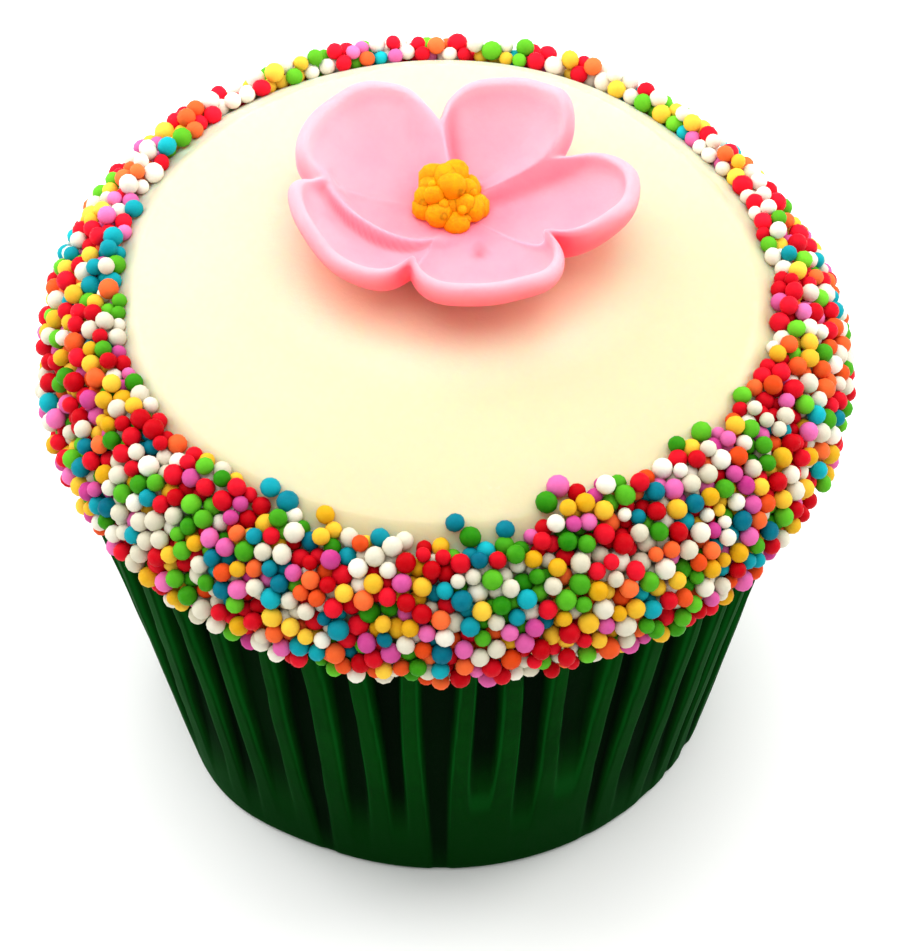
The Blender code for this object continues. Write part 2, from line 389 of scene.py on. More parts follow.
def icingFinish():
    finish = Finish(
        "creamIcing",
        Roughness=0.42,
        Subsurface_Weight=0.8,
        Subsurface_Radius=(1.0, 0.4, 0.18),
        Subsurface_Scale=5 * mm,
        Coat_Weight=0.06,
        Coat_Roughness=0.3,
    )
    x, y = finish.axis("X"), finish.axis("Y")
    # cloudy cream, darker and yellower towards the front right, which is painted shade; painted light
    # in a paler ring before the flower, and painted pink light bounced from the petals into the shade
    # at its foot
    frontShadeAndClouds = (x * 0.5 - y + finish.noise(0.06, 2.0) * 16).step(-10, 36)
    creamWithPaintedLight = finish.mix(frontShadeAndClouds, *icing["creamAndShade"])
    away = ((x - flower["x"]) ** 2 + (y - flower["y"]) ** 2) ** 0.5
    # painted light: paler in a ring before the flower, where its shade falls
    creamWithPaintedLight = finish.mix(away.step(20, 15) * y.step(0, -12) * 0.6, creamWithPaintedLight, icing["pale"])
    # painted light: pink bounce light from the petals near the flower's foot
    creamWithPaintedLight = finish.mix(away.step(16, 12) * 0.8, creamWithPaintedLight, icing["paintedPinkBounce"])
    flecks = finish.noise(1.6, 4.0, 0.6).step(0.62, 0.8)
    finish.wear("Base Color", finish.mix(flecks * 0.2, creamWithPaintedLight, icing["flecks"]))
    finish.wear("Roughness", 0.38 + 0.14 * finish.noise(0.3, 3.0))
    grain = finish.noise(2.4, 4.0, 0.6) * 0.5 + finish.noise(0.35, 2.0)
    finish.bump(grain, 0.07, 0.6)
    return finish


def makeIcing():
    # outside, the crown's outline turned about its axis, pressed in under the beads and with
    # sine waves on the dome; inside, the same outline a coat's thickness deeper
    azimuth = np.arange(icing["columns"]) * 360 / icing["columns"]
    dome = np.linspace(0.4, crown["join"], icing["domeRows"])
    shoulder = np.linspace(crown["join"] + 1.2, crown["end"], icing["shoulderRows"])
    phi, turned = np.meshgrid(np.append(dome, shoulder), np.radians(azimuth), indexing="ij")
    radius, height = crownAt(phi, pressed(phi))
    x, y = radius * np.cos(turned), radius * np.sin(turned)
    for wave in icing["waves"]:
        bob = wave["height"] * ripple(wave["seed"], x / wave["length"], y / wave["length"])
        height = height + bob * smooth(phi, 0, 2) * (1 - smooth(phi, 20, 60))
    outside = np.stack([x, y, height], axis=-1)
    inner, turned = np.meshgrid(np.array(icing["innerAngles"]), turned[0], indexing="ij")
    radius, height = crownAt(inner, icing["thickness"])
    # the first ring inside stands straight under the next one, level with the outer edge
    edge = crownAt(np.array(crown["end"]), crown["pressedIn"])[1]
    radius = np.vstack([radius[:1], radius])
    height = np.vstack([np.full_like(height[:1], edge), height])
    turned = np.vstack([turned[:1], turned])
    inside = np.stack([radius * np.cos(turned), radius * np.sin(turned), height], axis=-1)
    top = (0, 0, outside[0, :, 2].mean())
    under = (0, 0, float(crownAt(np.array(0.0), icing["thickness"])[1]))
    grid = onCrown(np.concatenate([outside, inside]))
    piece = skin("icing_coat", grid, icingFinish(), onCrown(top), onCrown(under))
    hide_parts("icing")


beads = {
    "seed": 11,
    "count": 2060,
    "sizes": (0.55, 0.94),  # smallest and largest radius
    "sink": 0.12,
    "ceiling": 2.62,  # none stands further than this out of the icing
    "lift": 1.3,  # a crowded bead starts up to the square of this above the first layer
    "innerRadius": 28.3,  # of the edge where they begin
    # where the edge lies further out, or in where the reach is negative, as
    # reach * exp(-(azimuth from the middle / spread)^power)
    "shifts": (
        {"azimuth": 80, "spread": 66, "reach": 3.0, "power": 4},
        {"azimuth": 296, "spread": 8.5, "reach": -2.8, "power": 2},
        {"azimuth": 317, "spread": 12, "reach": -1.1, "power": 2},
        {"azimuth": 275, "spread": 10, "reach": 0.5, "power": 2},
        {"azimuth": 228, "spread": 11, "reach": -0.8, "power": 2},
        {"azimuth": 184, "spread": 14, "reach": -0.5, "power": 2},
    ),
    "waver": 0.16,
    "fringe": 0.8,  # the first beads lie up to this far past the edge
    "end": 108.0,
    "endWaver": (-0.55, 0.25),
    # single beads that came to rest on the dome: azimuth, distance inside the edge, colour
    "strays": (
        (238, 0.9, "blue"),
        (242, 0.5, "blue"),
        (249, 0.6, "yellow"),
        (259, 0.5, "blue"),
        (263, 0.4, "white"),
        (271.5, 1.6, "blue"),
        (274, 0.7, "green"),
        (280, 1.1, "blue"),
        (288, 0.9, "green"),
        (291, 1.0, "pink"),
        (315.5, 0.5, "green"),
        (321, 0.5, "green"),
        (333, 0.3, "green"),
    ),
    "straySizes": (0.78, 0.97),
    "rounds": 260,
    "touch": 0.985,  # beads may sink into each other this little
    "push": 0.46,
    "pull": (0.10, 0.02),  # towards the icing, in the first rounds and in the last
    "longestPull": 0.8,
    "merged": 0.66,  # two beads closer than this share of touching are made one
    "alike": 0.3,  # share of beads in their neighbour's colour
}
beadColours = {
    # name: share, then darker and lighter colour of each bead
    "white": (0.26, (0.55, 0.50, 0.37), (0.94, 0.91, 0.82)),
    "red": (0.23, (0.40, 0.0, 0.002), (0.90, 0.012, 0.035)),
    "orange": (0.10, (0.60, 0.04, 0.002), (0.95, 0.19, 0.05)),
    "yellow": (0.14, (0.60, 0.29, 0.001), (0.97, 0.66, 0.07)),
    "green": (0.12, (0.005, 0.16, 0.001), (0.18, 0.66, 0.03)),
    "blue": (0.07, (0.0, 0.09, 0.15), (0.01, 0.52, 0.58)),
    "pink": (0.08, (0.42, 0.02, 0.18), (0.90, 0.22, 0.52)),
}


def shoulderLine():
    # the coat's outline as a fine polyline: radius, height, distance along it and normal
    phi = np.linspace(0, 130, 900)
    radius, height = crownAt(phi, pressed(phi))
    along = np.concatenate([[0], np.cumsum(np.hypot(np.diff(radius), np.diff(height)))])
    outR, outZ = -np.gradient(height, along), np.gradient(radius, along)
    size = np.hypot(outR, outZ)
    return phi, radius, height, along, outR / size, outZ / size


def edgeStart(azimuth):
    # radius where the beads begin: a radius, two sine waves and the shifts, so that it lies
    # far out at the back and has a tongue onto the dome at the front
    theta = np.radians(azimuth)
    edge = beads["innerRadius"] + beads["waver"] * (np.sin(11 * theta + 2.1) + np.sin(17 * theta))
    for shift in beads["shifts"]:
        aside = np.abs((azimuth - shift["azimuth"] + 180) % 360 - 180) / shift["spread"]
        edge = edge + shift["reach"] * np.exp(-(aside ** shift["power"]))
    return edge


def settleBeads():
    # beads start scattered over the shoulder and are pulled onto it, while overlapping
    # pairs push each other apart; the crowded ones end up in a loose second layer
    random = np.random.default_rng(beads["seed"])
    phi, lineR, lineZ, along, outR, outZ = shoulderLine()
    count = beads["count"]
    low, high = beads["sizes"]
    size = low + (high - low) * random.beta(2.6, 2.2, count)
    end = np.interp(beads["end"], phi, along)
    # places are drawn evenly over the shoulder's area: wider rings hold more of them
    azimuth, at = random.uniform(0, 360, count * 8), random.uniform(0, end, count * 8)
    begun = at > np.interp(crownAngle(edgeStart(azimuth)), phi, along)
    taken = begun & (random.uniform(0, lineR.max(), count * 8) < np.interp(at, along, lineR))
    azimuth, at = azimuth[taken][:count], at[taken][:count]
    endAt = end + random.uniform(*beads["endWaver"], count)
    lift = size + random.uniform(0, beads["lift"], count) ** 2
    radius = np.interp(at, along, lineR) + lift * np.interp(at, along, outR)
    height = np.interp(at, along, lineZ) + lift * np.interp(at, along, outZ)
    theta = np.radians(azimuth)
    spot = np.stack([radius * np.cos(theta), radius * np.sin(theta), height], axis=1)
    fringe = random.uniform(0, 1, count) ** 3 * beads["fringe"]
    for turnNumber in range(beads["rounds"]):
        if turnNumber % 6 == 0:
            first, second = nearPairs(spot, size)
        gap = spot[second] - spot[first]
        apart = np.maximum(np.linalg.norm(gap, axis=1), 1e-6)
        overlap = np.maximum((size[first] + size[second]) * beads["touch"] - apart, 0)
        push = gap / apart[:, None] * (overlap * beads["push"])[:, None]
        np.add.at(spot, second, push)
        np.add.at(spot, first, -push)
        # nearest place on the outline, then the pull onto it
        flat = np.hypot(spot[:, 0], spot[:, 1])
        aside, above = flat[:, None] - lineR[None, ::3], spot[:, 2][:, None] - lineZ[None, ::3]
        nearest = (aside**2 + above**2).argmin(axis=1) * 3
        raised = (flat - lineR[nearest]) * outR[nearest]
        raised = raised + (spot[:, 2] - lineZ[nearest]) * outZ[nearest]
        want = size - beads["sink"]
        pull = beads["pull"][int(turnNumber >= beads["rounds"] * 0.8)]
        sunk = -np.minimum(raised - want, beads["longestPull"]) * pull
        move = np.where(raised < want, want - raised, sunk)
        move = np.minimum(move, beads["ceiling"] - size - raised)
        azimuth = np.degrees(np.arctan2(spot[:, 1], spot[:, 0]))
        startAt = np.interp(crownAngle(edgeStart(azimuth)), phi, along) + fringe
        slide = np.where(along[nearest] < startAt, (startAt - along[nearest]) * 0.3, 0)
        slide = np.where(along[nearest] > endAt, (endAt - along[nearest]) * 0.5, slide)
        stepR = move * outR[nearest] + slide * outZ[nearest]
        stepZ = move * outZ[nearest] - slide * outR[nearest]
        spot[:, 0] += stepR * spot[:, 0] / flat
        spot[:, 1] += stepR * spot[:, 1] / flat
        spot[:, 2] += stepZ
    return spot, size


def nearPairs(spot, size):
    # pairs of beads whose centres are closer than two large beads
    limit = 2 * size.max() + 0.3
    order = np.argsort(spot[:, 0])
    line = spot[order]
    last = np.searchsorted(line[:, 0], line[:, 0] + limit)
    follow = last - np.arange(len(line)) - 1  # how many lie within the limit after each
    firsts = np.repeat(np.arange(len(line)), follow)
    starts = np.cumsum(follow) - follow
    seconds = np.arange(len(firsts)) - np.repeat(starts, follow) + firsts + 1
    close = np.linalg.norm(line[firsts] - line[seconds], axis=1) < limit
    return order[firsts[close]], order[seconds[close]]


def strayBeads(random):
    # the single beads, each set into the icing at its distance inside the edge
    azimuth, inside, colour = zip(*beads["strays"])
    azimuth = np.array(azimuth)
    radius = edgeStart(azimuth) - np.array(inside)
    size = random.uniform(*beads["straySizes"], len(radius))
    x, y = radius * np.cos(np.radians(azimuth)), radius * np.sin(np.radians(azimuth))
    phi = crownAngle(radius)
    height = crownAt(phi, pressed(phi))[1] + size - beads["sink"]
    return np.stack([x, y, height], axis=1), size, colour


def ballShape():
    # a cube whose faces are cut into squares and blown up to a ball: 54 faces
    cuts = 3
    line = np.tan(np.linspace(-1, 1, cuts + 1) * math.pi / 4)
    points, faces = [], []
    for axis in range(3):
        for side in (-1, 1):
            first, second = np.meshgrid(line, line, indexing="ij")
            face = np.zeros((cuts + 1, cuts + 1, 3))
            face[..., axis] = side
            face[..., (axis + 1) % 3] = first
            face[..., (axis + 2) % 3] = second
            index = np.arange(first.size).reshape(first.shape) + len(points) * first.size
            quads = [index[:-1, :-1], index[1:, :-1], index[1:, 1:], index[:-1, 1:]]
            quads = np.stack(quads[::side], axis=-1).reshape(-1, 4)
            points.append(face.reshape(-1, 3))
            faces.append(quads)
    points = np.vstack(points)
    points /= np.linalg.norm(points, axis=1)[:, None]
    # edges shared by two faces are welded
    near = points.round(6)
    _, firstSeen, inverse = np.unique(near, axis=0, return_index=True, return_inverse=True)
    return points[firstSeen], inverse.reshape(-1)[np.vstack(faces)]


def manyFaces(faces, points, count):
    # the faces of so many copies of a shape with so many points, one after another
    start = np.arange(count)[:, None, None] * points
    return (faces[None] + start).reshape(-1, 4).tolist()


def beadFinish(name, dark, pale):
    finish = Finish("sugar" + name.capitalize(), Roughness=0.45, IOR=1.12)
    toneAndBackLight = finish.attribute("toneAndBackLight")
    mottle = finish.noise(0.9, 3.0, 0.6)
    # the attribute mixes each bead's random shade of colour with painted light, paler towards the
    # back
    finish.wear("Base Color", finish.mix(toneAndBackLight * 0.85 + mottle * 0.3 - 0.07, dark, pale))
    finish.wear("Roughness", 0.36 + 0.22 * finish.noise(1.7, 2.0))
    finish.bump(finish.noise(4.0, 3.0, 0.6), 0.04, 0.7)
    return finish


def makeBeads():
    random = np.random.default_rng(beads["seed"] + 1)
    spot, size = settleBeads()
    straySpot, straySize, strayColour = strayBeads(random)
    spot, size = onCrown(np.vstack([spot, straySpot])), np.append(size, straySize)
    # a bead squeezed into a later one is left out
    apart = np.linalg.norm(spot[:, None] - spot[None], axis=2)
    tooNear = apart < beads["merged"] * (size[:, None] + size[None])
    kept = ~np.triu(tooNear, 1).any(axis=1)
    spot, size, apart = spot[kept], size[kept], apart[kept][:, kept]
    count = len(spot)
    ball, ballFaces = ballShape()
    names = list(beadColours)
    shares = np.array([beadColours[name][0] for name in names])
    chosen = random.choice(len(names), count, p=shares / shares.sum())
    # some take their nearest neighbour's colour, so that colours gather here and there
    nearest = (apart + np.eye(count) * 99).argmin(axis=1)
    chosen = np.where(random.uniform(0, 1, count) < beads["alike"], chosen[nearest], chosen)
    chosen[-len(strayColour) :] = [names.index(name) for name in strayColour]
    # each differs at random, and painted light makes them paler towards the back
    toneAndBackLight = 0.65 * random.uniform(0, 1, count) ** 1.6 + 0.55 * smooth(spot[:, 1], -24, 24)
    toneAndBackLight = toneAndBackLight.clip(0, 1)
    # each bead is a little out of round, its long axis turned at random
    stretch = 1 + random.normal(0, 0.035, (count, 3)).clip(-0.09, 0.12)
    axes = np.linalg.qr(random.normal(0, 1, (count, 3, 3)))[0]
    for number, name in enumerate(names):
        mine = np.flatnonzero(chosen == number)
        shape = ball[None] * (size[mine, None] * stretch[mine])[:, None, :]
        shape = np.einsum("bij,bpj->bpi", axes[mine], shape) + spot[mine][:, None, :]
        faces = manyFaces(ballFaces, len(ball), len(mine))
        tones = {"toneAndBackLight": np.repeat(toneAndBackLight[mine], len(ball))}
        finish = beadFinish(name, *beadColours[name][1:])
        piece = addPiece("beads_" + name, shape.reshape(-1, 3), faces, finish, tones)
        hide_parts("sprinkle_band")
    print("beads:", count)


makeBeads()

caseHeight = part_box("paper_case")[1].z / mm
case = {
    "baseRadius": 25.3,
    "rimRadius": 33.1,
    "pleats": 46,
    "samples": 16,  # columns to a pleat
    "rows": 70,
    "wall": 0.14,
    "heel": 0.8,
    "depthBase": 0.15,  # of the folds
    "depthRim": 2.1,
    "crest": 0.13,  # half width of a fold's flat top at the rim, as a share of a pleat
    "spread": 0.09,  # how much wider it is at the base
    "flank": 0.135,
    "dents": (
        {"azimuth": 178, "spread": 8, "push": 1.1, "level": 0},
        {"azimuth": 194, "spread": 9, "push": -1.5, "level": 0},
        {"azimuth": 223, "spread": 14, "push": 0.8, "level": 0},
        {"azimuth": 206, "spread": 16, "push": 0.5, "level": 1},
        {"azimuth": 350, "spread": 25, "push": -0.5, "level": 1},
    ),
    # how uneven the folds are by hand: place, width and lean as shares of a pleat, the
    # level where a valley begins, and its depth
    "seed": 5,
    "placeWaver": 0.07,
    "widthWaver": 0.022,
    "leanWaver": 0.09,
    "bend": 0.05,
    "runOut": (-0.22, 0.34),
    "deep": (0.8, 1.1),
    "crumple": 0.10,
    "paper": ((0.0003, 0.029, 0.0010), (0.0002, 0.017, 0.0005)),
    "fibres": (0.0006, 0.048, 0.002),
    # painted highlight along a fold's edges
    "foldEdgeHighlight": (0.002, 0.085, 0.008),
    "foot": (0.0002, 0.017, 0.0005),
    # painted shade, nearly black, deep in the folds' valleys
    "valley": (0.0, 0.0008, 0.0),
}


def caseFinish():
    finish = Finish(
        "greenPaper",
        Roughness=0.5,
        IOR=1.03,
        Sheen_Weight=0.05,
        Sheen_Roughness=0.4,
        Sheen_Tint=(0.05, 0.8, 0.15, 1),
    )
    fold = finish.attribute("fold")
    soak = finish.noise(0.09, 3.0, 0.6).step(0.35, 0.7)
    fibre = finish.noise(1.4, 4.0, 0.7, (1.0, 1.0, 0.25))
    paper = finish.mix(soak, *case["paper"])
    paper = finish.mix(fibre.step(0.4, 0.75) * 0.3, paper, case["fibres"])
    # painted highlight along a fold's edges, darker towards the foot, and painted shade, nearly
    # black, in the valleys
    foldEdgeHighlight = fold.step(0.02, 0.14) * (1 - fold.step(0.18, 0.4))
    paper = finish.mix(foldEdgeHighlight * 0.5, paper, case["foldEdgeHighlight"])
    paper = finish.mix(finish.axis("Z").step(3, 24), case["foot"], paper)
    # painted shade: nearly black deep in the valleys
    finish.wear("Base Color", finish.mix(fold.step(0.25, 1.0) * 0.97, paper, case["valley"]))
    finish.wear("Roughness", 0.42 + 0.2 * fibre)
    finish.bump(fibre * 0.6 + finish.noise(5.0, 3.0, 0.7) * 0.4, 0.05, 0.7)
    return finish


def pleatShapes(azimuth, level):
    # how far down a fold's flank each point lies, 0 on a crest and 1 in a valley: the
    # distance from the nearest crest's middle, eased over the flank. With it, the depth of
    # the point's valley, eased in above the level where it begins
    random = np.random.default_rng(case["seed"])
    count = case["pleats"]
    pitch = 360 / count
    middle = np.arange(count) * pitch + random.normal(0, case["placeWaver"], count) * pitch
    width = case["crest"] + random.normal(0, case["widthWaver"], count)
    lean = random.normal(0, case["leanWaver"], count) * pitch
    runOut = random.uniform(*case["runOut"], count)
    deep = random.uniform(*case["deep"], count)
    nearest = np.floor(azimuth / pitch + 0.5).astype(int)
    fold = np.ones_like(azimuth)
    valley = np.floor(azimuth / pitch).astype(int) % count
    depth = deep[valley] * smooth(level, runOut[valley] - 0.1, runOut[valley] + 0.3)
    for shift in (-1, 0, 1):
        k = (nearest + shift) % count
        bend = lean[k] * (level - 0.5) + case["bend"] * pitch * np.sin(level * 5 + k * 1.7)
        away = np.abs((azimuth - middle[k] - bend + 180) % 360 - 180) / pitch
        flat = width[k] + case["spread"] * (1 - level)
        fold = np.minimum(fold, smooth(away, flat, flat + case["flank"]))
    return fold, depth


def caseWall(azimuth, level):
    # radius over the crests, a straight taper with dents, less the fold's depth, with fine
    # sine waves for the crumpled paper
    radius = case["baseRadius"] + (case["rimRadius"] - case["baseRadius"]) * level
    for dent in case["dents"]:
        share = level if dent["level"] else 1 - level
        radius = radius + dent["push"] * share * bumpAt(azimuth, dent["azimuth"], dent["spread"])
    fold, depth = pleatShapes(azimuth, level)
    reach = case["depthBase"] + (case["depthRim"] - case["depthBase"]) * level
    crumple = case["crumple"] * ripple(21, azimuth / 7, level * 9)
    return radius - fold * depth * reach + crumple * smooth(level, 0.02, 0.2), fold * depth


def makeCase():
    # the wall's radius turned about the axis, up the outside and down the inside a wall's
    # thickness further in, with a flat bottom
    wall = case["wall"]
    columns = case["pleats"] * case["samples"]
    azimuth = np.arange(columns) * 360 / columns
    level = np.linspace(0, 1, case["rows"]) ** 1.15
    level, azimuth = np.meshgrid(level, azimuth, indexing="ij")
    radius, fold = caseWall(azimuth, level)
    height = level * caseHeight
    # the wall turns under at the base in a small round heel
    climb = np.clip(height / case["heel"], 0, 1)
    radius = radius - case["heel"] * 0.6 * (1 - np.sqrt(1 - (1 - climb) ** 2))
    theta = np.radians(azimuth)
    outside = np.stack([radius * np.cos(theta), radius * np.sin(theta), height], axis=-1)
    # the bottom is three rings, the lowest row drawn in towards the middle
    bottom = outside[:1] * np.array([[[share, share, 1]] for share in (0.15, 0.5, 0.85)])
    inner = slice(None, -4, 6)  # every sixth row, from the rim down to above the bottom
    inside = outside[::-1][inner].copy()
    inside[..., :2] *= (1 - wall / np.hypot(inside[..., 0], inside[..., 1]))[..., None]
    inside[-1, :, 2] = np.maximum(inside[-1, :, 2], wall)
    bottomInside = bottom[::-1] * np.array([0.985, 0.985, 1]) + np.array([0, 0, wall])
    grid = np.concatenate([bottom, outside, inside, bottomInside])
    flat = np.zeros((len(bottom), columns))
    tones = {"fold": np.concatenate([flat, fold, fold[::-1][inner], flat]).ravel()}
    piece = skin("case_paper", grid, caseFinish(), (0, 0, 0), (0, 0, wall), tones)
    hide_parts("paper_case")


makeCase()
print("paper case made")

flower = {
    "x": 1.1,
    "y": 2.6,
    "seat": 1.2,  # the sheet's upper side above the icing
    "lowest": 0.04,  # no point comes nearer the icing than this
    "floorThickness": 1.15,
    "rimThickness": 1.25,
    # curl is how far the sheet has bent up at the edge, in degrees; tilt lifts the edge
    # before the petal's middle and lowers it after
    "petals": (
        {"heading": -7, "reach": 14.5, "height": 5.4, "fullness": 2.3, "curl": 93, "tilt": -0.8},
        {"heading": 46, "reach": 11.7, "height": 6.3, "fullness": 1.9, "curl": 66, "tilt": -0.5},
        {"heading": 141, "reach": 13.1, "height": 5.1, "fullness": 2.7, "curl": 70, "tilt": 0.2},
        {"heading": 209, "reach": 13.1, "height": 4.8, "fullness": 3.2, "curl": 89, "tilt": -0.6},
        {"heading": 296.5, "reach": 13.5, "height": 4.9, "fullness": 2.4, "curl": 89, "tilt": -0.1},
    ),
    # each notch follows the petal of the same place in the list
    "notches": (
        {"heading": 23, "reach": 8.2, "height": 3.1, "curl": 64},
        {"heading": 98, "reach": 7.7, "height": 2.6, "curl": 64},
        {"heading": 177, "reach": 10.8, "height": 3.7, "curl": 64},
        {"heading": 251, "reach": 9.4, "height": 3.9, "curl": 98},
        {"heading": 319, "reach": 8.9, "height": 3.8, "curl": 98},
    ),
    # from the notch of that number a fold of height ridge runs to the centre: lean widens
    # it towards larger headings, bend turns it as it nears the centre, and it fades out
    # inside the distance ends
    "folds": (
        {"notch": 0, "ridge": 1.0, "lean": 0.4, "bend": 0, "ends": 2.0},
        {"notch": 1, "ridge": 1.9, "lean": 0.6, "bend": 0, "ends": 1.5},
        {"notch": 2, "ridge": 1.7, "lean": -0.45, "bend": 135, "ends": 5.2},
        {"notch": 3, "ridge": 0.5, "lean": 0, "bend": 0, "ends": 4.0},
    ),
    "ridgeWidth": 1.05,
    "dimple": {"x": 2.2, "y": -5.5, "depth": 0.7, "width": 0.5, "length": 1.0},
    # sine waves along the edge, as a share of its height
    "ruffles": (
        {"height": 0.03, "waves": 9, "start": 0.6},
        {"height": 0.02, "waves": 17, "start": 2},
    ),
    "sides": 60,
    "rows": 52,
    "rimRows": 7,
    "smoothing": 6,
    "pinks": {
        # deep to pale from the middle to the rim: partly the paste's colour, partly painted shade in
        # the hollows and painted light on the rims
        "middle": (0.93, 0.20, 0.29),
        "inner": (0.92, 0.29, 0.375),
        "outer": (0.90, 0.34, 0.42),
        "rim": (0.90, 0.41, 0.475),
        "clouds": (0.90, 0.39, 0.455),
        # painted shade: deeper red-pink on the petals' lower side
        "under": (0.95, 0.13, 0.17),
        # painted shade in the grooves beside the folds, the dimple and the notch walls
        "creaseShade": (0.94, 0.09, 0.15),
    },
}


def petalEdge(number):
    # headings round one petal with the edge's reach, height and curl. As it swings from -1 at
    # the notch before it to 1 at the notch after it, reach = notch reach + (petal reach -
    # notch reach) * sqrt(1 - |swing|^fullness), and height and curl ease likewise
    petal = flower["petals"][number]
    before, after = flower["notches"][number - 1], flower["notches"][number]
    first = before["heading"] - (360 if before["heading"] > petal["heading"] else 0)
    last = after["heading"] + (360 if after["heading"] < petal["heading"] else 0)
    even = np.linspace(-1, 1, flower["sides"] + 1)[:-1]
    swing = 0.5 * even + 0.5 * np.sin(even * math.pi / 2)
    opening = swing < 0
    notchReach = np.where(opening, before["reach"], after["reach"])
    notchHeight = np.where(opening, before["height"], after["height"])
    bulge = np.sqrt(1 - np.abs(swing) ** petal["fullness"])
    reach = notchReach + (petal["reach"] - notchReach) * bulge
    height = notchHeight + (petal["height"] - notchHeight) * (1 - np.abs(swing) ** 3)
    height = height + petal["tilt"] * 2.6 * swing * (1 - swing**2)
    span = np.where(opening, petal["heading"] - first, last - petal["heading"])
    angle = petal["heading"] + span * swing
    curl = np.where(opening, before["curl"], after["curl"])
    curl = curl + (petal["curl"] - curl) * (1 - np.abs(swing) ** 4)
    return angle, reach, height, curl


def ridges(distance, theta):
    # height of the folds between petals: ridge * exp(-(distance from the fold's line / width)^2),
    # the line's heading turning by bend * (1 - distance / reach) on its way in; with it, how
    # far each point lies in the groove along the fold's steep side, for the painted shade there
    total, creaseShade = 0, 0
    for fold in flower["folds"]:
        notch = flower["notches"][fold["notch"]]
        inwards = np.clip(1 - distance / notch["reach"], 0, 1)
        aside = theta - np.radians(notch["heading"] + fold["bend"] * inwards)
        across = distance * np.sin(aside)
        width = flower["ridgeWidth"] * (1 + fold["lean"] * np.tanh(across * 2))
        fade = smooth(distance, 0.6 * fold["ends"], 1.6 * fold["ends"]) * (np.cos(aside) > 0)
        total = total + fold["ridge"] * np.exp(-((across / width) ** 2)) * fade
        steep = across + np.sign(fold["lean"])
        creaseShade = creaseShade + 0.3 * fold["ridge"] * np.exp(-((steep / 0.65) ** 2)) * fade
    return total, np.minimum(creaseShade, 0.75)


def rounded(grid):
    # each point moves half way to the mean of its neighbours round the flower, over again
    for _ in range(flower["smoothing"]):
        mean = (np.roll(grid, 1, axis=1) + np.roll(grid, -1, axis=1)) / 2
        grid = grid + (mean - grid) / 2
    return grid


def flowerFinish():
    finish = Finish(
        "pinkSugarPaste",
        Roughness=0.5,
        IOR=1.38,
        Subsurface_Weight=0.85,
        Subsurface_Radius=(1.0, 0.28, 0.34),
        Subsurface_Scale=3 * mm,
    )
    rim, under = finish.attribute("rim"), finish.attribute("under")
    # the paste's pink, deep in the middle and paler by steps towards the rim: partly its own colour,
    # partly painted shade in the cupped hollows and painted light on the rounded rims
    pinks = flower["pinks"]
    middle = finish.mix(rim.step(0.1, 0.45), pinks["middle"], pinks["inner"])
    hollow = finish.mix(rim.step(0.5, 0.85), middle, pinks["outer"])
    edge = finish.mix(rim.step(0.9, 1.0), hollow, pinks["rim"])
    clouds = finish.noise(0.25, 3.0, 0.55).step(0.3, 0.75)
    upper = finish.mix(clouds * 0.25, edge, pinks["clouds"])
    # painted shade: the lower side deeper red-pink
    pinkWithUndersideShade = finish.mix(under, upper, pinks["under"])
    # painted shade: deeper pink in the grooves, the dimple and the notch walls
    finish.wear("Base Color", finish.mix(finish.attribute("creaseShade"), pinkWithUndersideShade, pinks["creaseShade"]))
    finish.wear("Roughness", 0.44 + 0.16 * finish.noise(0.8, 3.0))
    finish.bump(finish.noise(2.6, 4.0, 0.6) * 0.5 + finish.noise(0.5, 2.0), 0.06, 0.6)
    return finish


